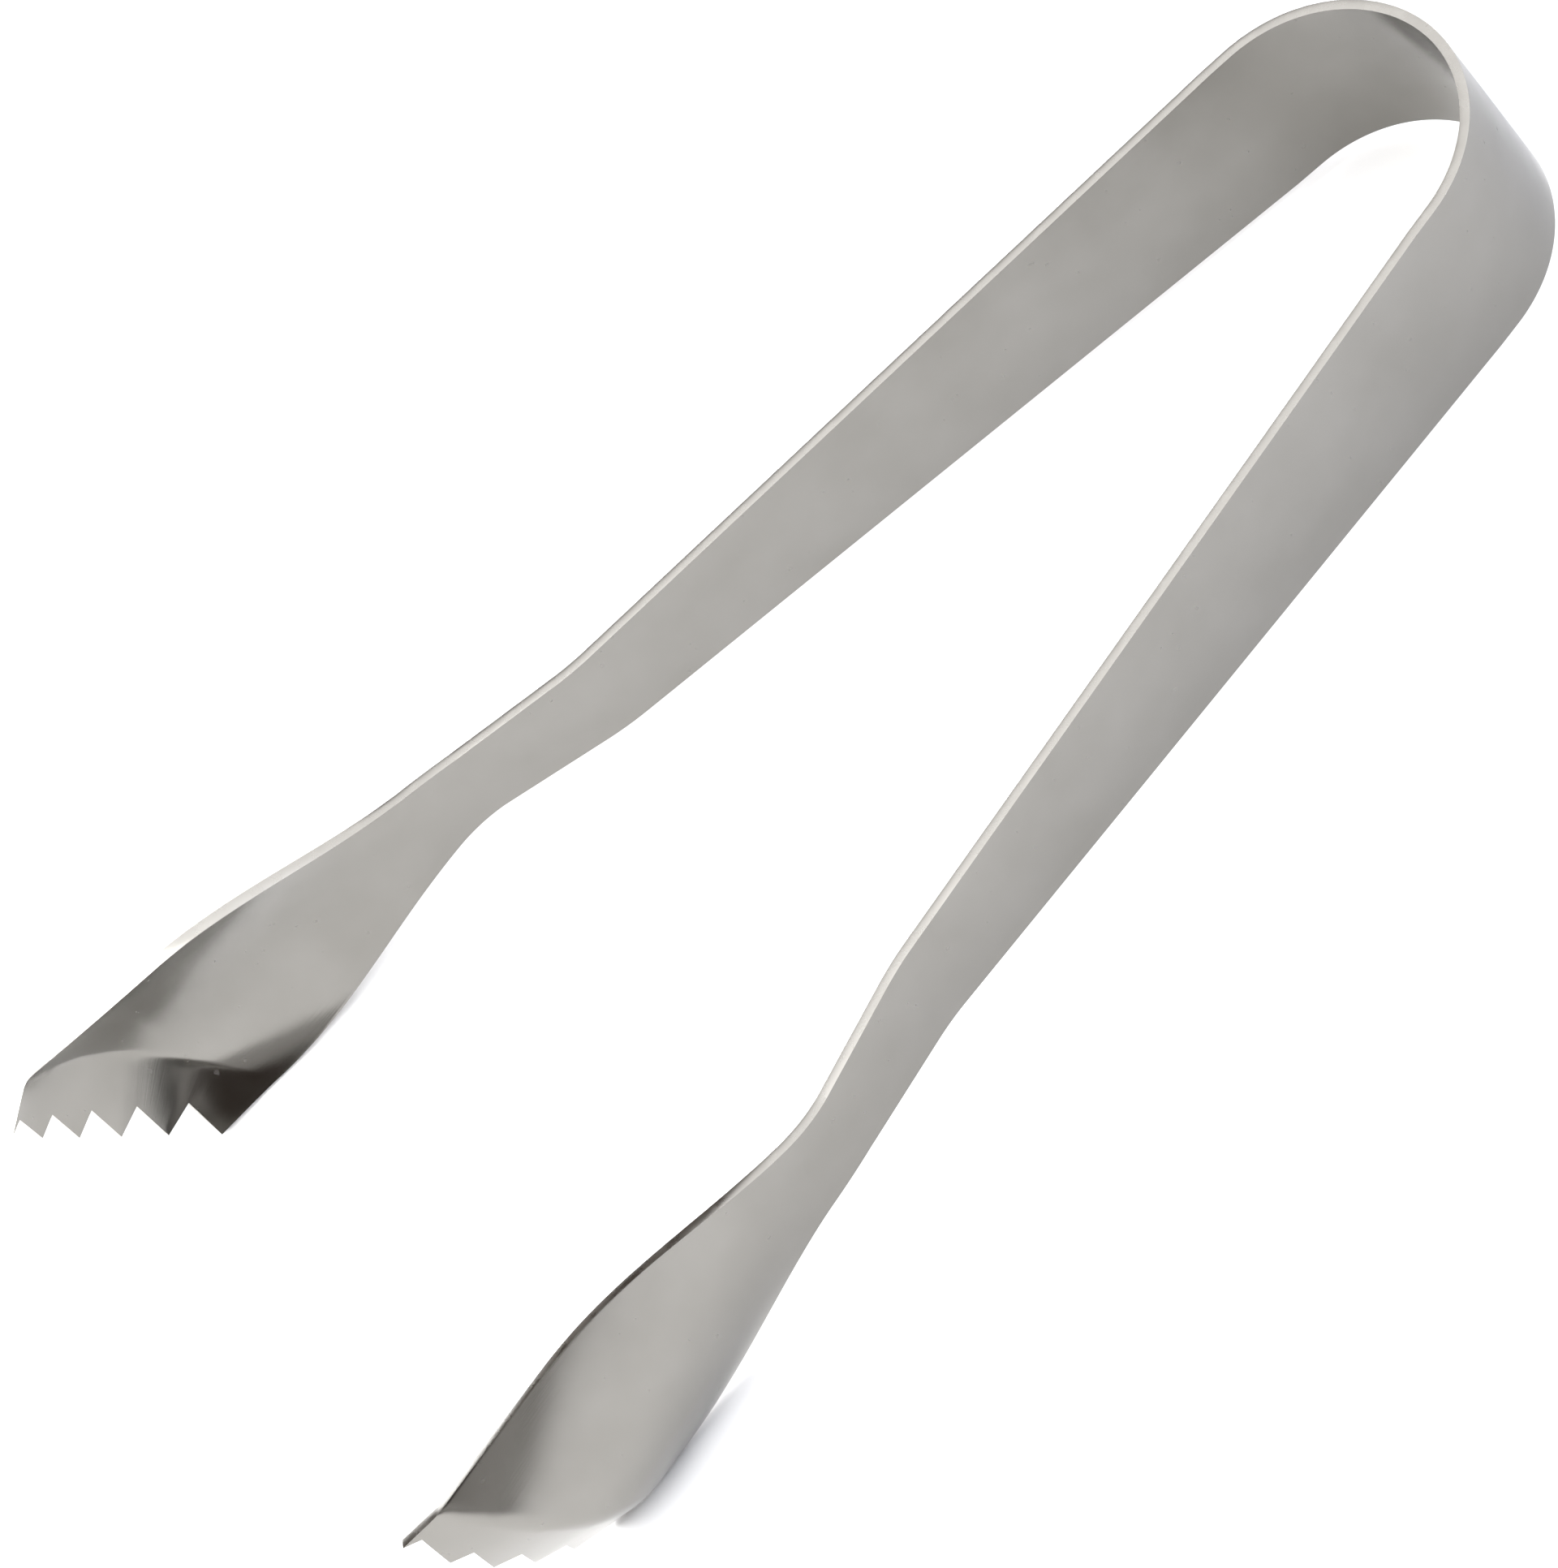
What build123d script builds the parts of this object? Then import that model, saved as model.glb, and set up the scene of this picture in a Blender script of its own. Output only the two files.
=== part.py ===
# Ice tongs: one stainless strip bent into a spring, with a scoop and a row of teeth at each end.
#
# Millimetres. The tongs lie on their long edge: the bow points to +X and the teeth to -X. The right
# arm is on +Y, and the left arm is its mirror image on -Y. The strip's width runs along Z. The shape
# is worked out from the centre of the bow, and its origin then moves to the middle of its footprint,
# on the surface that the scoops' lower rims lie on.

import os
from math import asin, cos, pi, radians, sin, tan

from build123d import *

# Sheet and bow
SHEET = 1.0                     # thickness of the strip
BOW_RADIUS = 14.9               # to the middle of the sheet
BOW_HALF_WIDTH = 10.6
ARM_SPLAY = 7.3                 # degrees, each arm's outward lean where it leaves the bow
FLEX_POINT = 12.3               # distance along the arm where it turns against the bow
FLEX_GAP = 0.15                 # slit between the bow and the arm there

# Neck: the arm steps outward between two bends before the scoop
FIRST_BEND_X = -81.5
SECOND_BEND_X = -97.7
NECK_LEAN = 15.5                # degrees
BEND_RADIUS = 30.0
NECK_LEAD = 3.0                 # straight stretch before the first bend
NECK_SLICES = 12
NECK_SHORT = 0.03               # keeps the neck's end clear of the scoop's first slice
NECK_HALF_WIDTH = 5.0
TAPER_END_X = -95.0

# Scoop: a widening channel with a slanting end, so that its upper rim is the longer one
SCOOP_START_X = -102.0
RIM_SLOPE = 0.05                # outward rise of both rims per mm of length
UPPER_CURL = 0.0011             # growth of each rim's slope, per mm squared
LOWER_CURL = 0.0004
FLARE_END_X = -129.0
SCOOP_HALF_WIDTH = 12.3
UPPER_RIM_END_X = -144.7
LOWER_RIM_END_X = -129.5
SCOOP_DEPTH = 5.0
SCOOP_SLICES = 8
FLATTEST = 0.05                 # depth of the first slice, which is nearly straight

# Toothed tip: the end wall, turned inward, with a slanting row of teeth
TOOTH_COUNT = 6
FIRST_TOOTH = Vector(-149.6, 32.8, 10.1)    # heights here are from the strip's middle plane
LAST_TOOTH = Vector(-136.4, 31.9, -11.8)
ROW_ROUND = 1.65                # how far the middle teeth stand ahead of a straight row
WALL_OVERSHOOT = 1.4            # the uncut wall's length, as a share of the distance to the teeth
WALL_FLATTENING = 1.95          # loss of depth over the distance to the teeth

LIFT = SCOOP_HALF_WIDTH         # height of the strip's middle plane
MARGIN = 30.0                   # reach of cutting shapes past the strip


def half_width(x):
    """Half of the strip's width: constant round the bow, a straight taper, then a smooth flare."""
    if x > 0:
        return BOW_HALF_WIDTH
    if x > TAPER_END_X:
        return BOW_HALF_WIDTH + (NECK_HALF_WIDTH - BOW_HALF_WIDTH) * x / TAPER_END_X
    if x > FLARE_END_X:
        share = (TAPER_END_X - x) / (TAPER_END_X - FLARE_END_X)
        return NECK_HALF_WIDTH + (SCOOP_HALF_WIDTH - NECK_HALF_WIDTH) * (1 - cos(pi * share)) / 2
    return SCOOP_HALF_WIDTH


def arm_point(distance):
    """Middle of the sheet at a distance along the right arm from the end of the bow."""
    lean = radians(ARM_SPLAY)
    x = BOW_RADIUS * sin(lean) - distance * cos(lean)
    y = BOW_RADIUS * cos(lean) + distance * sin(lean)
    return Vector(x, y)


def arm_distance(x):
    lean = radians(ARM_SPLAY)
    return (BOW_RADIUS * sin(lean) - x) / cos(lean)


NECK_START = arm_distance(FIRST_BEND_X) - NECK_LEAD
FIRST_BEND = arm_point(arm_distance(FIRST_BEND_X))
SECOND_BEND = Vector(
    SECOND_BEND_X,
    FIRST_BEND.Y + (FIRST_BEND_X - SECOND_BEND_X) * tan(radians(NECK_LEAN)),
)


def rim_y(x, curl):
    """Distance of a scoop's rim from the plane midway between the arms."""
    run = SECOND_BEND_X - x
    return SECOND_BEND.Y + RIM_SLOPE * run + curl * run**2


def upright_slice(point, heading):
    """Rectangle across the strip at a point on its middle line, facing along heading."""
    plane = Plane(
        origin=(point.X, point.Y, LIFT),
        x_dir=(-heading.Y, heading.X, 0),
        z_dir=(heading.X, heading.Y, 0),
    )
    return plane * Rectangle(SHEET, 2 * half_width(point.X))


def curved_slice(top, bottom, depth):
    """Slice of the channel between two points on its rims, bulging outward by depth."""
    chord = top - bottom
    half = chord.length / 2
    radius = (half**2 + depth**2) / (2 * depth)
    spread = asin(half / radius)
    up = chord.normalized()
    out = Vector(0, 1, 0) - up * up.Y
    out = out.normalized()
    centre = (top + bottom) * 0.5 + out * (depth - radius)

    def on_arc(arc_radius, angle):
        return centre + out * (arc_radius * cos(angle)) + up * (arc_radius * sin(angle))

    inner = [on_arc(radius - SHEET / 2, angle) for angle in (spread, 0, -spread)]
    outer = [on_arc(radius + SHEET / 2, angle) for angle in (-spread, 0, spread)]
    edges = [
        ThreePointArc(*inner),
        Line(inner[-1], outer[0]),
        ThreePointArc(*outer),
        Line(outer[-1], inner[0]),
    ]
    return make_face(edges)


def rim_point(x, curl, side):
    return Vector(x, rim_y(x, curl), LIFT + side * half_width(x))


def scoop_rims(share):
    """Upper and lower rim points of a scoop slice, from share 0 at the neck to 1 at the end wall."""
    upper_x = SCOOP_START_X + share * (UPPER_RIM_END_X - SCOOP_START_X)
    lower_x = SCOOP_START_X + share * (LOWER_RIM_END_X - SCOOP_START_X)
    return rim_point(upper_x, UPPER_CURL, 1), rim_point(lower_x, LOWER_CURL, -1)


def arm_run(start, end):
    """Straight, tapering stretch of the right arm between two distances from the bow."""
    stations = [arm_point(start), arm_point(end)]
    heading = (stations[1] - stations[0]).normalized()
    return loft([upright_slice(point, heading) for point in stations], ruled=True)


def bow():
    """The half circle and the stub of each arm up to where the arm turns."""
    quarter = 90 - ARM_SPLAY
    profile = Plane.XZ * Pos(BOW_RADIUS, LIFT) * Rectangle(SHEET, 2 * BOW_HALF_WIDTH)
    ring = revolve(Rot(0, 0, -quarter) * profile, Axis.Z, 2 * quarter)
    stub = arm_run(0, FLEX_POINT - FLEX_GAP / 2)
    return ring + stub + mirror(stub, Plane.XZ)


def neck():
    """The two bends that step the arm outward, flat across its width."""
    path = FilletPolyline(
        arm_point(NECK_START),
        FIRST_BEND,
        SECOND_BEND,
        Vector(SCOOP_START_X + NECK_SHORT, rim_y(SCOOP_START_X, 0)),
        radius=BEND_RADIUS,
    )
    shares = [step / NECK_SLICES for step in range(NECK_SLICES + 1)]
    return loft([upright_slice(path @ share, path % share) for share in shares])


def scoop():
    slices = []
    for step in range(SCOOP_SLICES + 1):
        share = step / SCOOP_SLICES
        top, bottom = scoop_rims(share)
        slices.append(curved_slice(top, bottom, max(SCOOP_DEPTH * share, FLATTEST)))
    return loft(slices)


def tooth_points():
    """Tips of the teeth in side view, on a shallow arc, with the notch corner before each next tip."""
    first = Vector(FIRST_TOOTH.X, FIRST_TOOTH.Z + LIFT)
    last = Vector(LAST_TOOTH.X, LAST_TOOTH.Z + LIFT)
    row = last - first
    ahead = Vector(row.Y, -row.X).normalized()
    points = []
    for tooth in range(TOOTH_COUNT):
        share = tooth / (TOOTH_COUNT - 1)
        tip = first + row * share + ahead * (4 * ROW_ROUND * share * (1 - share))
        if points:
            points.append(Vector(tip.X, points[-1].Y))
        points.append(tip)
    return points


def toothed_tip():
    """Curved end wall between the slanting end of the scoop and the stepped teeth."""
    top, bottom = scoop_rims(1)
    lift = Vector(0, 0, LIFT)
    far_top = top + (FIRST_TOOTH + lift - top) * WALL_OVERSHOOT
    far_bottom = bottom + (LAST_TOOTH + lift - bottom) * WALL_OVERSHOOT
    far_depth = SCOOP_DEPTH - WALL_FLATTENING * WALL_OVERSHOOT
    wall = loft(
        [curved_slice(top, bottom, SCOOP_DEPTH), curved_slice(far_top, far_bottom, far_depth)],
        ruled=True,
    )
    points = tooth_points()
    outline = [(points[0].X, MARGIN), *[(point.X, point.Y) for point in points]]
    outline += [(points[-1].X, -MARGIN), (0, -MARGIN), (0, MARGIN)]
    side_view = Plane.XZ * make_face(Polyline(*outline, close=True))
    return wall & extrude(side_view, amount=2 * MARGIN, dir=(0, 1, 0))


def right_side():
    """Every piece of the right arm, by name, in order from the bow to the teeth."""
    return {
        "arm": arm_run(FLEX_POINT + FLEX_GAP / 2, NECK_START),
        "neck": neck(),
        "scoop": scoop(),
        "toothed_tip": toothed_tip(),
    }


pieces = {"bow": bow()}
for name, piece in right_side().items():
    pieces[f"{name}_right"] = piece
    pieces[f"{name}_left"] = mirror(piece, Plane.XZ)

# The origin moves from the bow's centre to the middle of the tongs' footprint
box = Compound(list(pieces.values())).bounding_box()
to_footprint = Pos(-box.center().X, 0, -box.min.Z)

os.makedirs("parts", exist_ok=True)
for name, piece in pieces.items():
    export_step(to_footprint * piece, f"parts/{name}.step")
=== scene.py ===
# Ice tongs bent from one stainless strip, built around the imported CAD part. Metres, bow towards +X.

import math

import bpy
from mathutils import Matrix, Vector


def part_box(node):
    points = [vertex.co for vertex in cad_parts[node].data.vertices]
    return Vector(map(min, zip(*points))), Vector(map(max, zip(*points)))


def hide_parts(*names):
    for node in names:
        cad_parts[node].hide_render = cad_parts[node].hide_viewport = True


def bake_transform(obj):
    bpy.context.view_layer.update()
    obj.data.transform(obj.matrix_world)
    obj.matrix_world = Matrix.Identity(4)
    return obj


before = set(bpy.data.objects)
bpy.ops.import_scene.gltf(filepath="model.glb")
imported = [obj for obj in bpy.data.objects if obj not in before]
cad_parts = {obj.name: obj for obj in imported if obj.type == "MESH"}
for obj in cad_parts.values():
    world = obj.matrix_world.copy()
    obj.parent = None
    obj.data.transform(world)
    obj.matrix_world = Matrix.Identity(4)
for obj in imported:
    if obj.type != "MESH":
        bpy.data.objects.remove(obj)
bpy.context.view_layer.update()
print("stage: frame loaded")

mm = 0.001


def toLinear(code):
    # hex sRGB to linear RGBA
    values = [int(code[i : i + 2], 16) / 255 for i in (1, 3, 5)]
    return [c / 12.92 if c <= 0.04045 else ((c + 0.055) / 1.055) ** 2.4 for c in values] + [1.0]


def addNode(tree, kind, settings=None, inputs=None):
    # each input is given a fixed value or another node's output
    node = tree.nodes.new(kind)
    for name, value in (settings or {}).items():
        setattr(node, name, value)
    for socket, value in (inputs or {}).items():
        if isinstance(value, bpy.types.NodeSocket):
            tree.links.new(value, node.inputs[socket])
        else:
            node.inputs[socket].default_value = value
    return node


def addObject(name, data):
    obj = bpy.data.objects.new(name, data)
    bpy.context.scene.collection.objects.link(obj)
    return obj


# The strip is worked out in millimetres from the bow's centre and the strip's middle plane, for the
# right arm. The left arm is its mirror image.
stripShape = {
    "sheet": 1.0,
    "bowRadius": 14.9,  # to the middle of the sheet
    "bowHalfWidth": 10.6,
    "splay": 7.3,  # degrees, each arm's outward lean
    "firstBend": -81.5,
    "secondBend": -97.7,
    "neckLean": 15.5,  # degrees
    "neckLead": 3.0,  # straight stretch before the first bend
    "bendReach": (2.2, 3.3),  # rounding before and after each bend
    "neckHalfWidth": 5.0,
    "taperEnd": -95.0,
    "edgeRound": 0.2,
    "sharpAngle": 38,  # degrees
    "stations": {"bow": 48, "arm": 30, "neck": 44},  # lines across the strip in each stretch
}
scoopShape = {
    "start": -102.0,
    "rimSlope": 0.05,  # outward rise of both rims per mm of length
    "upperCurl": 0.0011,  # growth of each rim's slope, per mm squared
    "lowerCurl": 0.0004,
    "flareEnd": -129.0,
    "halfWidth": 12.3,
    "upperEnd": -144.7,
    "lowerEnd": -129.5,
    "depth": 5.0,
    "depthEase": 0.1,  # how gently the channel starts to deepen
    "stations": 72,
}
toothShape = {
    "count": 6,
    "first": (-149.6, 32.8, 10.1),
    "last": (-136.4, 31.9, -11.8),
    "rowRound": 1.65,  # how far the middle teeth stand ahead of a straight row
    "wallOvershoot": 1.4,  # the uncut wall's length, as a share of the distance to the teeth
    "wallFlattening": 1.95,  # loss of depth over the distance to the teeth
    "wallLength": 6.0,
    "wallCrowding": 1.6,  # draws the wall's lines together towards the teeth
    "creaseReach": 1.08,  # how far before the wall the crease starts
    "creaseShare": 0.16,  # part of the wall taken up by the rounded crease
    "stations": {"crease": 8, "wall": 14},
    "columnsPerTooth": 7,
    "columnLean": 1.25,  # crowds the columns towards the upper rim, closer to where the teeth fall
    "rimColumn": 0.008,  # a narrow column beside each rim keeps the edge out of the faces' shading
}

lowBox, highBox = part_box("bow")
shiftX = highBox.x / mm - stripShape["bowRadius"] - stripShape["sheet"] / 2
middleZ = (lowBox.z + highBox.z) / 2 / mm
lean = math.radians(stripShape["splay"])
armStart = stripShape["bowRadius"] * math.sin(lean)
armY = stripShape["bowRadius"] * math.cos(lean)


def halfWidth(x):
    wide, narrow = stripShape["bowHalfWidth"], stripShape["neckHalfWidth"]
    flared = scoopShape["halfWidth"]
    taperEnd, flareEnd = stripShape["taperEnd"], scoopShape["flareEnd"]
    if x > 0:
        return wide
    if x > taperEnd:
        return wide + (narrow - wide) * x / taperEnd
    if x > flareEnd:
        share = (taperEnd - x) / (taperEnd - flareEnd)
        return narrow + (flared - narrow) * (1 - math.cos(math.pi * share)) / 2
    return flared


def softCorner(distance, reach):
    # nothing before a bend, the distance after it, and a curve over its reach
    if distance < -reach:
        return 0.0
    if distance > reach:
        return distance
    return (distance + reach) ** 2 / (4 * reach)


def sheetY(x, curl=0.0):
    # the leaning arm, then the two neck bends, then the rising rims
    armSlope = math.tan(lean)
    neckSlope = math.tan(math.radians(stripShape["neckLean"]))
    firstReach, secondReach = stripShape["bendReach"]
    y = armY + (armStart - x) * armSlope
    y += (neckSlope - armSlope) * softCorner(stripShape["firstBend"] - x, firstReach)
    y += (scoopShape["rimSlope"] - neckSlope) * softCorner(stripShape["secondBend"] - x, secondReach)
    return y + curl * max(0.0, stripShape["secondBend"] - x) ** 2


def scoopRims(share):
    upperX = scoopShape["start"] + share * (scoopShape["upperEnd"] - scoopShape["start"])
    lowerX = scoopShape["start"] + share * (scoopShape["lowerEnd"] - scoopShape["start"])
    upper = Vector((upperX, sheetY(upperX, scoopShape["upperCurl"]), halfWidth(upperX)))
    lower = Vector((lowerX, sheetY(lowerX, scoopShape["lowerCurl"]), -halfWidth(lowerX)))
    return upper, lower


def scoopDepth(share):
    ease = scoopShape["depthEase"]
    return scoopShape["depth"] * (math.hypot(share, ease) - ease) / (math.hypot(1, ease) - ease)


def outward(upper, lower):
    up = (upper - lower).normalized()
    return (Vector((0, 1, 0)) - up * up.y).normalized()


def crossPoint(upper, lower, depth, across):
    # a point of the channel, with across 0 on its lower rim and 1 on its upper rim
    flat = lower.lerp(upper, across)
    return flat + outward(upper, lower) * (depth * 4 * across * (1 - across))


def channelStation(share, wallShare):
    upper, lower = scoopRims(share)
    bulge = outward(upper, lower) * scoopDepth(share)
    return {"upper": upper, "lower": lower, "bulge": bulge, "wallShare": wallShare}


def flatStation(middle, height):
    up = Vector((0, 0, height))
    return {"upper": middle + up, "lower": middle - up, "bulge": Vector(), "wallShare": 0.0}


def makeStations():
    # one station for each line across the strip, from the crown to the teeth
    stations = []
    count = stripShape["stations"]["bow"]
    for step in range(count):
        turn = (math.pi / 2 - lean) * step / count
        middle = Vector((math.cos(turn), math.sin(turn), 0)) * stripShape["bowRadius"]
        stations.append(flatStation(middle, stripShape["bowHalfWidth"]))
    neckStart = stripShape["firstBend"] + stripShape["neckLead"]
    for first, last, name in ((armStart, neckStart, "arm"), (neckStart, scoopShape["start"], "neck")):
        count = stripShape["stations"][name]
        for step in range(count):
            x = first + (last - first) * step / count
            stations.append(flatStation(Vector((x, sheetY(x), 0)), halfWidth(x)))
    creaseBack = toothShape["creaseReach"] / abs(scoopShape["upperEnd"] - scoopShape["start"])
    for step in range(scoopShape["stations"] + 1):
        stations.append(channelStation(step / scoopShape["stations"] * (1 - creaseBack), 0.0))
    wallStart = toothShape["creaseShare"]
    count = toothShape["stations"]["crease"]
    for step in range(1, count + 1):
        turn = step / count
        stations.append(channelStation(1 - creaseBack * (1 - turn) ** 2, wallStart * turn**2))
    count = toothShape["stations"]["wall"]
    for step in range(1, count + 1):
        turn = 1 - (1 - step / count) ** toothShape["wallCrowding"]
        stations.append(channelStation(1, wallStart + (1 - wallStart) * turn))
    return stations


def toothCorners():
    # tips and notches in side view, from the upper rim to the lower one
    first = Vector((toothShape["first"][0], toothShape["first"][2]))
    last = Vector((toothShape["last"][0], toothShape["last"][2]))
    row = last - first
    ahead = Vector((row.y, -row.x)).normalized()
    corners = []
    for tooth in range(toothShape["count"]):
        share = tooth / (toothShape["count"] - 1)
        tip = first + row * share + ahead * (4 * toothShape["rowRound"] * share * (1 - share))
        if corners:
            corners.append(Vector((tip.x, corners[-1].y)))
        corners.append(tip)
    return corners


def wallPoint(x, z):
    # the point of the end wall at x and z in side view, found by halving a span across the strip
    upper, lower = scoopRims(1)
    reach = toothShape["wallOvershoot"]
    farUpper = upper + (Vector(toothShape["first"]) - upper) * reach
    farLower = lower + (Vector(toothShape["last"]) - lower) * reach
    farDepth = scoopShape["depth"] - toothShape["wallFlattening"] * reach
    low, high = -0.2, 1.2  # from a little below the lower rim to a little above the upper one
    for halving in range(40):
        across = (low + high) / 2
        near = crossPoint(upper, lower, scoopShape["depth"], across)
        far = crossPoint(farUpper, farLower, farDepth, across)
        point = near.lerp(far, (x - near.x) / (far.x - near.x))
        low, high = (across, high) if point.z < z else (low, across)
    return point


def makeToothComb():
    # for each column along the strip: its place from the lower rim, and the wall's reach there
    corners = toothCorners()
    columns = toothShape["columnsPerTooth"]
    gaps = toothShape["count"] - 1
    edge = [(0.0, corners[0])]
    for tooth in range(gaps):
        valley, nextTip = corners[2 * tooth + 1 : 2 * tooth + 3]
        for column in range(columns):
            edge.append((tooth + (column + 1) / columns, valley.lerp(nextTip, column / (columns - 1))))
    upper, lower = scoopRims(1)
    comb = []
    for place, corner in edge:
        across = 1 - (place / gaps) ** toothShape["columnLean"]
        reach = wallPoint(corner.x, corner.y) - crossPoint(upper, lower, scoopShape["depth"], across)
        comb.append((across, reach))
    for place, rim, inner in ((1, comb[0], comb[1]), (-1, comb[-1], comb[-2])):
        share = toothShape["rimColumn"] / abs(rim[0] - inner[0])
        comb.insert(place, (rim[0] + (inner[0] - rim[0]) * share, rim[1].lerp(inner[1], share)))
    return comb


def pointCloud(name, points, numbers=None, vectors=None):
    # points with named attributes, which the strip's node tree reads in order
    mesh = bpy.data.meshes.new(name)
    mesh.from_pydata([tuple(point) for point in points], [], [])
    for label, values in (numbers or {}).items():
        for item, value in zip(mesh.attributes.new(label, "FLOAT", "POINT").data, values):
            item.value = value
    for label, values in (vectors or {}).items():
        for item, value in zip(mesh.attributes.new(label, "FLOAT_VECTOR", "POINT").data, values):
            item.vector = value
    return addObject(name, mesh)


stations = makeStations()
comb = makeToothComb()
origin = Vector((shiftX, 0, middleZ))
lengths = [0.0]
for before, after in zip(stations, stations[1:]):
    along = (after["upper"] + after["lower"] - before["upper"] - before["lower"]).length / 2
    along += (after["wallShare"] - before["wallShare"]) * toothShape["wallLength"]
    lengths.append(lengths[-1] + along)
clouds = {
    "Upper Rim": pointCloud(
        "upper_rim",
        [(station["upper"] + origin) * mm for station in stations],
        {
            "wallShare": [station["wallShare"] for station in stations],
            "length": [length * mm for length in lengths],
        },
        {"bulge": [station["bulge"] * mm for station in stations]},
    ),
    "Lower Rim": pointCloud("lower_rim", [(station["lower"] + origin) * mm for station in stations]),
    "Tooth Comb": pointCloud(
        "tooth_comb",
        [(0, 0, 0)] * len(comb),
        {"across": [across for across, reach in comb]},
        {"reach": [reach * mm for across, reach in comb]},
    ),
}
print("stage: shape worked out,", len(stations), "stations and", len(comb), "columns")


steelLook = {
    "light": "#8a8884",
    "dark": "#7c7a75",
    "roughness": (0.17, 0.26),
    "cloudSize": 9 * mm,
    "cloudRange": (0.3, 0.7),
    "brushWidth": 0.12 * mm,  # finer on the real strip, and drawn as coarse as it needs to show
    "brushLength": 14 * mm,
    "brushDepth": 0.0035 * mm,
    "speckSize": 0.9 * mm,
    "speckRange": (0.75, 0.8),
    "speckRoughness": 0.12,
}
# the edges' lighter colours are a painted highlight; only their higher roughness is the real duller
# shear
edgeHighlightLook = dict(
    steelLook,
    light="#c8c6c2",
    dark="#bbb9b4",
    roughness=(0.22, 0.34),
    cloudSize=2 * mm,
    brushWidth=0.2 * mm,
    brushLength=1.2 * mm,
    brushDepth=0.0005 * mm,
)


def makeSteel(name, look):
    # drawn lines along the strip, a cloudy sheen and a few duller specks
    material = bpy.data.materials.new(name)
    material.use_nodes = True
    tree = material.node_tree
    tree.nodes.clear()
    stripMap = addNode(tree, "ShaderNodeUVMap", {"uv_map": "stripMap"}).outputs["UV"]
    solid = addNode(tree, "ShaderNodeTexCoord").outputs["Object"]
    drawn = addNode(
        tree,
        "ShaderNodeMapping",
        inputs={"Vector": stripMap, "Scale": (1 / look["brushLength"], 1 / look["brushWidth"], 1)},
    ).outputs["Vector"]
    brush = addNode(
        tree,
        "ShaderNodeTexNoise",
        inputs={"Vector": drawn, "Scale": 1, "Detail": 3, "Roughness": 0.6},
    ).outputs["Fac"]
    cloud = addNode(
        tree,
        "ShaderNodeTexNoise",
        inputs={"Vector": solid, "Scale": 1 / look["cloudSize"], "Detail": 3, "Roughness": 0.5},
    ).outputs["Fac"]
    speck = addNode(
        tree,
        "ShaderNodeTexNoise",
        inputs={"Vector": solid, "Scale": 1 / look["speckSize"], "Detail": 1},
    ).outputs["Fac"]
    colour = addNode(
        tree,
        "ShaderNodeMix",
        {"data_type": "RGBA"},
        {"Factor": cloud, 6: toLinear(look["light"]), 7: toLinear(look["dark"])},
    ).outputs[2]
    sheen, dullness = (
        addNode(
            tree,
            "ShaderNodeMapRange",
            inputs={
                "Value": pattern,
                "From Min": start,
                "From Max": end,
                "To Min": smoothest,
                "To Max": roughest,
            },
        ).outputs["Result"]
        for pattern, (start, end), (smoothest, roughest) in (
            (cloud, look["cloudRange"], look["roughness"]),
            (speck, look["speckRange"], (0, look["speckRoughness"])),
        )
    )
    roughness = addNode(
        tree, "ShaderNodeMath", {"operation": "ADD"}, {0: sheen, 1: dullness}
    ).outputs["Value"]
    normal = addNode(
        tree,
        "ShaderNodeBump",
        inputs={"Height": brush, "Strength": 1, "Distance": look["brushDepth"]},
    ).outputs["Normal"]
    shader = addNode(
        tree,
        "ShaderNodeBsdfPrincipled",
        inputs={"Base Color": colour, "Metallic": 1, "Roughness": roughness, "Normal": normal},
    ).outputs["BSDF"]
    addNode(tree, "ShaderNodeOutputMaterial", inputs={"Surface": shader})
    return material


# rolled stainless strip, polished and then satined: soft grey reflections drawn out along its length
satinSteel = makeSteel("satin_stainless_steel", steelLook)
# the same steel on the sheared and tumbled edges: evenly duller, with a lighter colour that is a
# painted highlight along each edge
edgeHighlightSteel = makeSteel("sheared_edge_painted_highlight", edgeHighlightLook)
print("stage: finishes made")


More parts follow.
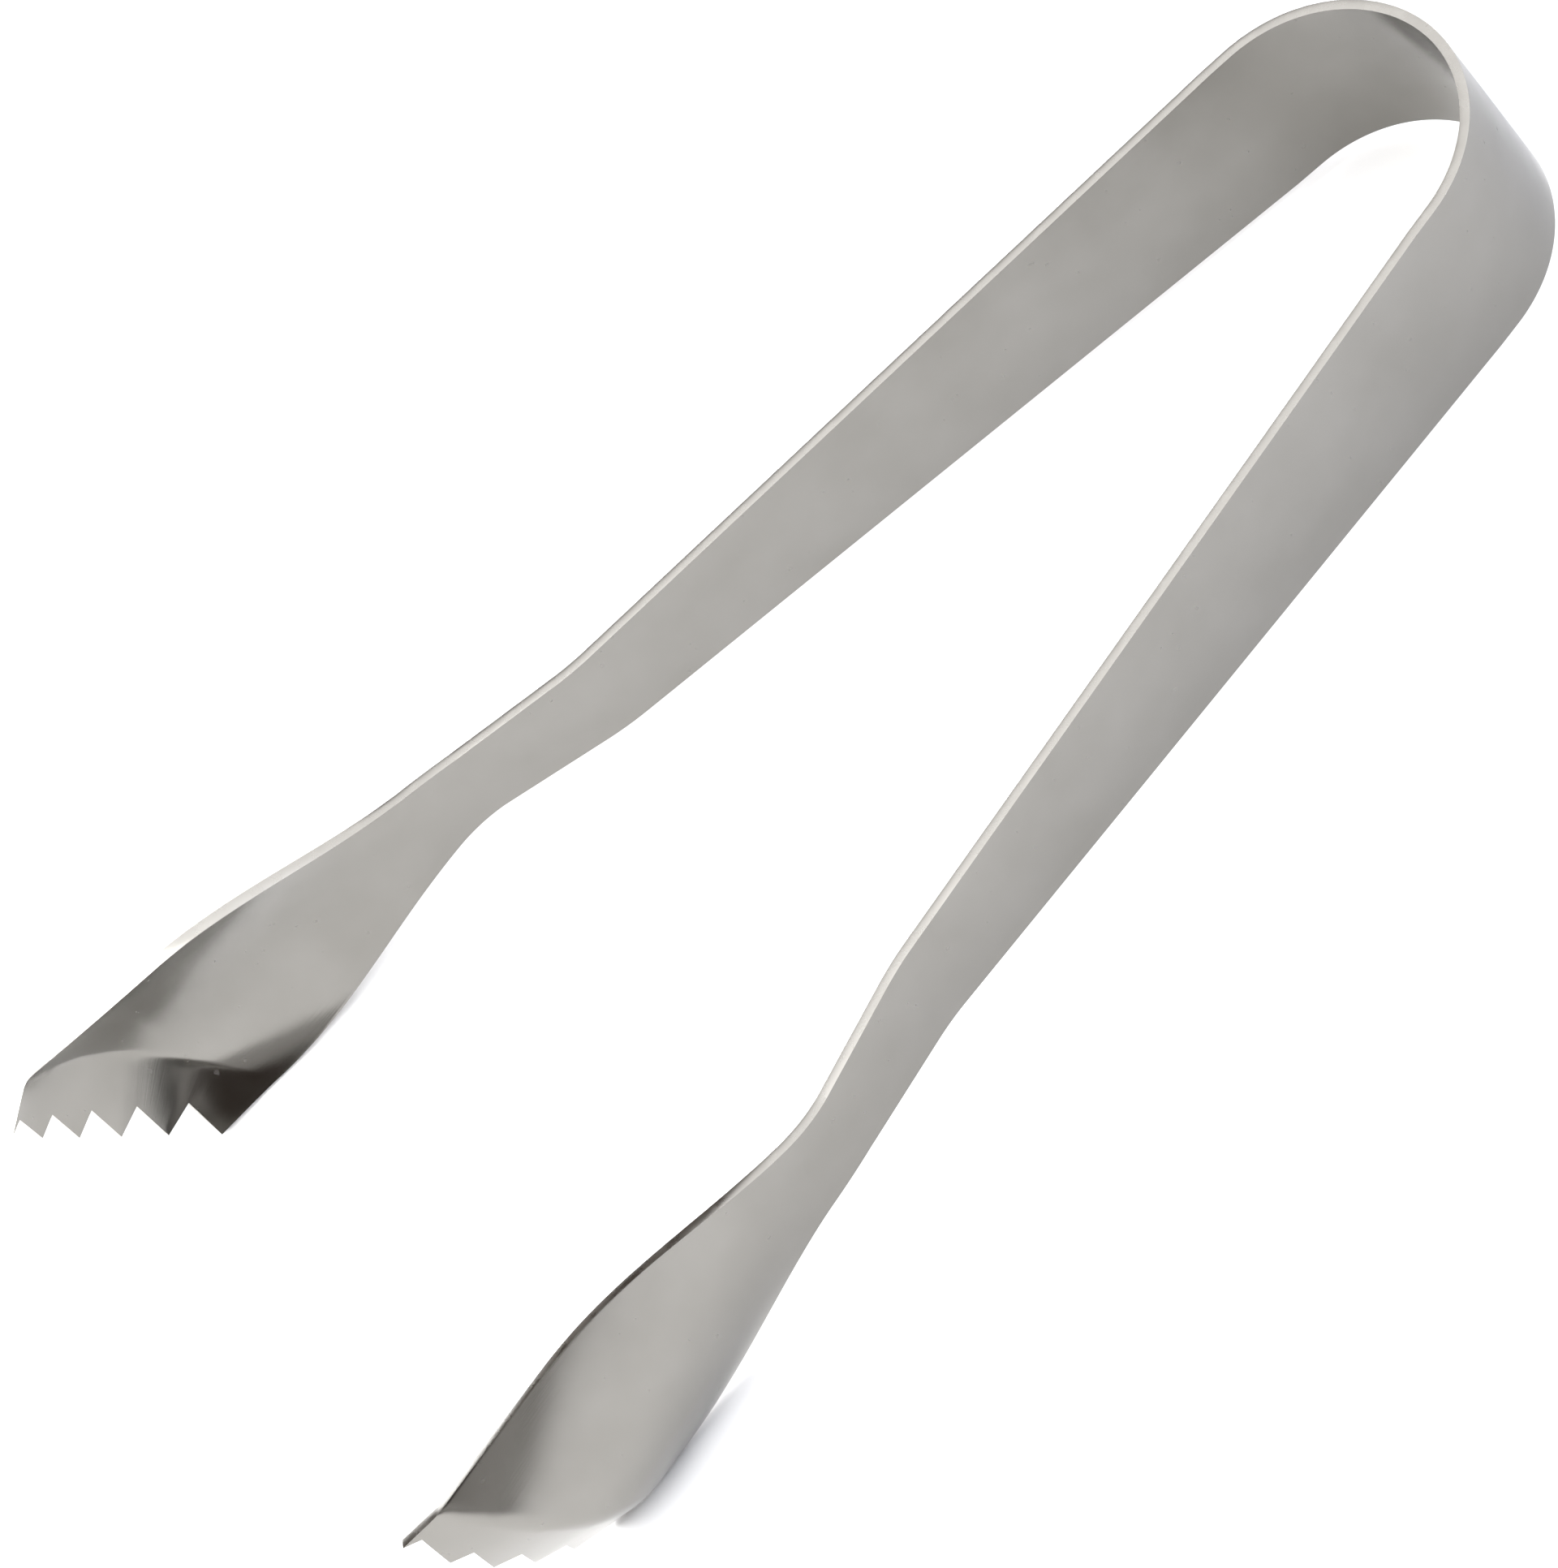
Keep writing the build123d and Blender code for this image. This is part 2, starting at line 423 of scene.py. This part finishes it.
def makeStripTree():
    # a grid laid between two rims, bulged into a channel and drawn out to the toothed edge
    tree = bpy.data.node_groups.new("bent_strip", "GeometryNodeTree")
    inputKinds = {
        "Upper Rim": "NodeSocketObject",
        "Lower Rim": "NodeSocketObject",
        "Tooth Comb": "NodeSocketObject",
        "Stations": "NodeSocketInt",
        "Columns": "NodeSocketInt",
        "Side": "NodeSocketFloat",
        "Strip Width": "NodeSocketFloat",
        "Material": "NodeSocketMaterial",
    }
    for name, kind in inputKinds.items():
        tree.interface.new_socket(name, in_out="INPUT", socket_type=kind)
    tree.interface.new_socket("Geometry", in_out="OUTPUT", socket_type="NodeSocketGeometry")
    given = addNode(tree, "NodeGroupInput").outputs

    grid = addNode(
        tree,
        "GeometryNodeMeshGrid",
        inputs={"Vertices X": given["Stations"], "Vertices Y": given["Columns"]},
    ).outputs["Mesh"]
    index = addNode(tree, "GeometryNodeInputIndex").outputs["Index"]
    station, column = (
        addNode(
            tree, "FunctionNodeIntegerMath", {"operation": operation}, {0: index, 1: given["Columns"]}
        ).outputs[0]
        for operation in ("DIVIDE_FLOOR", "MODULO")
    )

    def readCloud(name, kind, attribute):
        # an attribute of a point cloud, at the station or column that a grid point is on
        source = addNode(
            tree, "GeometryNodeObjectInfo", {"transform_space": "ORIGINAL"}, {"Object": given[name]}
        ).outputs["Geometry"]
        value = addNode(
            tree, "GeometryNodeInputNamedAttribute", {"data_type": kind}, {"Name": attribute}
        ).outputs["Attribute"]
        return addNode(
            tree,
            "GeometryNodeSampleIndex",
            {"data_type": kind, "domain": "POINT"},
            {"Geometry": source, "Value": value, "Index": column if name == "Tooth Comb" else station},
        ).outputs["Value"]

    upper = readCloud("Upper Rim", "FLOAT_VECTOR", "position")
    lower = readCloud("Lower Rim", "FLOAT_VECTOR", "position")
    bulge = readCloud("Upper Rim", "FLOAT_VECTOR", "bulge")
    wallShare = readCloud("Upper Rim", "FLOAT", "wallShare")
    length = readCloud("Upper Rim", "FLOAT", "length")
    across = readCloud("Tooth Comb", "FLOAT", "across")
    reach = readCloud("Tooth Comb", "FLOAT_VECTOR", "reach")

    # an arch that is 0 on both rims and 1 midway between them
    back = addNode(tree, "ShaderNodeMath", {"operation": "SUBTRACT"}, {0: 1, 1: across}).outputs[0]
    rise = addNode(tree, "ShaderNodeMath", {"operation": "MULTIPLY"}, {0: across, 1: back}).outputs[0]
    arch = addNode(tree, "ShaderNodeMath", {"operation": "MULTIPLY"}, {0: rise, 1: 4}).outputs[0]
    place = lower
    chord = addNode(
        tree, "ShaderNodeVectorMath", {"operation": "SUBTRACT"}, {0: upper, 1: lower}
    ).outputs[0]
    for direction, share in ((chord, across), (bulge, arch), (reach, wallShare)):
        place = addNode(
            tree,
            "ShaderNodeVectorMath",
            {"operation": "MULTIPLY_ADD"},
            {0: direction, 1: share, 2: place},
        ).outputs[0]
    sides = addNode(tree, "ShaderNodeCombineXYZ", inputs={0: 1, 1: given["Side"], 2: 1}).outputs[0]
    mirrored = addNode(
        tree, "ShaderNodeVectorMath", {"operation": "MULTIPLY"}, {0: place, 1: sides}
    ).outputs[0]
    laid = addNode(
        tree, "GeometryNodeSetPosition", inputs={"Geometry": grid, "Position": mirrored}
    ).outputs["Geometry"]

    # cut edges are marked for rounding, apart from the seam at the crown
    faceCount = addNode(tree, "GeometryNodeInputMeshEdgeNeighbors").outputs["Face Count"]
    cut = addNode(
        tree, "FunctionNodeCompare", {"data_type": "INT", "operation": "EQUAL"}, {2: faceCount, 3: 1}
    ).outputs[0]
    atCrown = addNode(
        tree,
        "FunctionNodeCompare",
        {"data_type": "INT", "operation": "LESS_THAN"},
        {2: index, 3: given["Columns"]},
    ).outputs[0]
    seam = addNode(
        tree,
        "GeometryNodeFieldOnDomain",
        {"data_type": "BOOLEAN", "domain": "POINT"},
        {"Value": atCrown},
    ).outputs[0]
    rounded = addNode(
        tree, "FunctionNodeBooleanMath", {"operation": "NIMPLY"}, {0: cut, 1: seam}
    ).outputs[0]
    marked = addNode(
        tree,
        "GeometryNodeStoreNamedAttribute",
        {"data_type": "FLOAT", "domain": "EDGE"},
        {"Name": "bevel_weight_edge", "Geometry": laid, "Value": rounded},
    ).outputs["Geometry"]

    # the finishes follow the strip on a map of its length and width
    width = addNode(
        tree, "ShaderNodeMath", {"operation": "MULTIPLY"}, {0: across, 1: given["Strip Width"]}
    ).outputs[0]
    flatMap = addNode(tree, "ShaderNodeCombineXYZ", inputs={0: length, 1: width}).outputs[0]
    onPoints = addNode(
        tree,
        "GeometryNodeFieldOnDomain",
        {"data_type": "FLOAT_VECTOR", "domain": "POINT"},
        {"Value": flatMap},
    ).outputs[0]
    mapped = addNode(
        tree,
        "GeometryNodeStoreNamedAttribute",
        {"data_type": "FLOAT2", "domain": "CORNER"},
        {"Name": "stripMap", "Geometry": marked, "Value": onPoints},
    ).outputs["Geometry"]

    # the mirrored half has its faces turned round so that they all face outwards
    isLeft = addNode(
        tree,
        "FunctionNodeCompare",
        {"data_type": "FLOAT", "operation": "LESS_THAN"},
        {0: given["Side"], 1: 0},
    ).outputs[0]
    turned = addNode(
        tree, "GeometryNodeFlipFaces", inputs={"Mesh": mapped, "Selection": isLeft}
    ).outputs["Mesh"]
    real = addNode(
        tree, "GeometryNodeRealizeInstances", inputs={"Geometry": turned}
    ).outputs["Geometry"]
    finished = addNode(
        tree, "GeometryNodeSetMaterial", inputs={"Geometry": real, "Material": given["Material"]}
    ).outputs["Geometry"]
    addNode(tree, "NodeGroupOutput", inputs={"Geometry": finished})
    return tree


stripTree = makeStripTree()


def makeHalf(name, side):
    # one half of the strip, from the middle of the crown to its teeth, as a plain closed mesh
    source = addObject(name + "_source", bpy.data.meshes.new(name + "_source"))
    # with two slots on the object, Solidify gives the cut edges a slot of their own
    source.data.materials.append(edgeHighlightSteel)
    source.data.materials.append(satinSteel)
    nodes = source.modifiers.new("bent_strip", "NODES")
    nodes.node_group = stripTree
    given = {
        **clouds,
        "Stations": len(stations),
        "Columns": len(comb),
        "Side": float(side),
        "Strip Width": 2 * stripShape["bowHalfWidth"] * mm,
        "Material": satinSteel,
    }
    for item in stripTree.interface.items_tree:
        if item.in_out == "INPUT":
            nodes[item.identifier] = given[item.name]
    sheet = source.modifiers.new("sheet", "SOLIDIFY")
    sheet.thickness = stripShape["sheet"] * mm
    sheet.offset = 0
    sheet.use_even_offset = True
    sheet.material_offset_rim = -1
    edge = source.modifiers.new("edge", "BEVEL")
    edge.width = stripShape["edgeRound"] * mm
    edge.segments = 3
    edge.limit_method = "WEIGHT"
    edge.use_clamp_overlap = True
    bpy.context.view_layer.update()
    graph = bpy.context.evaluated_depsgraph_get()
    mesh = bpy.data.meshes.new_from_object(source.evaluated_get(graph))
    mesh.name = name
    # the first slot, on the cut edges, takes the steel with the painted edge highlight
    mesh.materials[0] = edgeHighlightSteel
    mesh.polygons.foreach_set("use_smooth", [True] * len(mesh.polygons))
    mesh.set_sharp_from_angle(angle=math.radians(stripShape["sharpAngle"]))
    bpy.data.objects.remove(source)
    return addObject(name, mesh)


# each half is built as one mesh and stands in for the bow and the CAD parts on its side, which are
# hidden
for side, label in ((1, "right"), (-1, "left")):
    half = makeHalf("strip_" + label, side)
    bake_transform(half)
    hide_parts("bow", *(part + "_" + label for part in ("arm", "neck", "scoop", "toothed_tip")))
    print("stage: strip", label, len(half.data.vertices), "vertices", len(half.data.polygons), "faces")
for helper in clouds.values():
    bpy.data.objects.remove(helper)


floorLook = {"colour": "#f4f4f4", "roughness": 0.9, "specular": 0.1, "reach": 3.0}
floorMesh = bpy.data.meshes.new("floor")
reach = floorLook["reach"]
corners = [(-reach, -reach, 0), (reach, -reach, 0), (reach, reach, 0), (-reach, reach, 0)]
floorMesh.from_pydata(corners, [], [(0, 1, 2, 3)])
floor = addObject("floor", floorMesh)
# plain matt paper: an even pale ground with almost no shine
paper = bpy.data.materials.new("plain_white_paper")
paper.use_nodes = True
paperShader = paper.node_tree.nodes["Principled BSDF"]
paperShader.inputs["Base Color"].default_value = toLinear(floorLook["colour"])
paperShader.inputs["Roughness"].default_value = floorLook["roughness"]
paperShader.inputs["Specular IOR Level"].default_value = floorLook["specular"]
floorMesh.materials.append(paper)

surround = {"colour": "#4a4039", "strength": 1.0}
world = bpy.data.worlds.new("surround")
bpy.context.scene.world = world
world.use_nodes = True
background = world.node_tree.nodes["Background"]
background.inputs["Color"].default_value = toLinear(surround["colour"])
background.inputs["Strength"].default_value = surround["strength"]

# lamp panels, in metres and watts
lamps = {
    "ceiling": {"place": (0, 0.15, 1.15), "target": (0, 0.15, 0), "size": (2.4, 2.4), "power": 22.0},
    "key": {"place": (-0.24, -0.02, 0.27), "target": (-0.07, 0, 0), "size": (0.34, 0.34), "power": 2.1},
    "side": {
        "place": (0.3, -0.14, 0.24),
        "target": (0.08, -0.02, 0),
        "size": (0.3, 0.3),
        "power": 1.5,
        "colour": "#eef3ff",
    },
    "front": {"place": (0, -1.6, 0.3), "target": (0, 0, 0.02), "size": (2.6, 0.5), "power": 3.0},
}
for name, lamp in lamps.items():
    light = bpy.data.lights.new(name, "AREA")
    light.shape = "RECTANGLE"
    light.size, light.size_y = lamp["size"]
    light.energy = lamp["power"]
    light.color = toLinear(lamp.get("colour", "#ffffff"))[:3]
    lightObject = addObject(name, light)
    lightObject.location = lamp["place"]
    lightObject.rotation_mode = "QUATERNION"
    towards = Vector(lamp["target"]) - Vector(lamp["place"])
    lightObject.rotation_quaternion = towards.to_track_quat("-Z", "Y")

view = {
    "azimuth": 2.064,  # degrees, as are the next two
    "elevation": 52.498,
    "roll": 45.161,
    "target": (-9.12, 2.71),  # millimetres, as are the next three
    "distance": 903.0,
    "lens": 223.5,
    "sensor": 36,
    "clip": (0.05, 20),  # metres
}
azimuth, elevation, roll = (math.radians(view[name]) for name in ("azimuth", "elevation", "roll"))
level = Vector((-math.sin(azimuth), -math.cos(azimuth), 0))
toCamera = level * math.cos(elevation) + Vector((0, 0, math.sin(elevation)))
right = Vector((math.cos(azimuth), -math.sin(azimuth), 0))
up = toCamera.cross(right)
cameraX = right * math.cos(roll) - up * math.sin(roll)
cameraY = right * math.sin(roll) + up * math.cos(roll)
cameraData = bpy.data.cameras.new("camera")
cameraData.sensor_width = view["sensor"]
cameraData.lens = view["lens"]
cameraData.clip_start, cameraData.clip_end = view["clip"]
camera = addObject("camera", cameraData)
camera.location = Vector((*view["target"], middleZ)) * mm + toCamera * view["distance"] * mm
camera.rotation_mode = "QUATERNION"
camera.rotation_quaternion = Matrix((cameraX, cameraY, toCamera)).transposed().to_quaternion()
bpy.context.scene.camera = camera
bpy.context.scene.view_settings.view_transform = "Standard"
print("stage: studio and camera set")

bpy.context.view_layer.update()
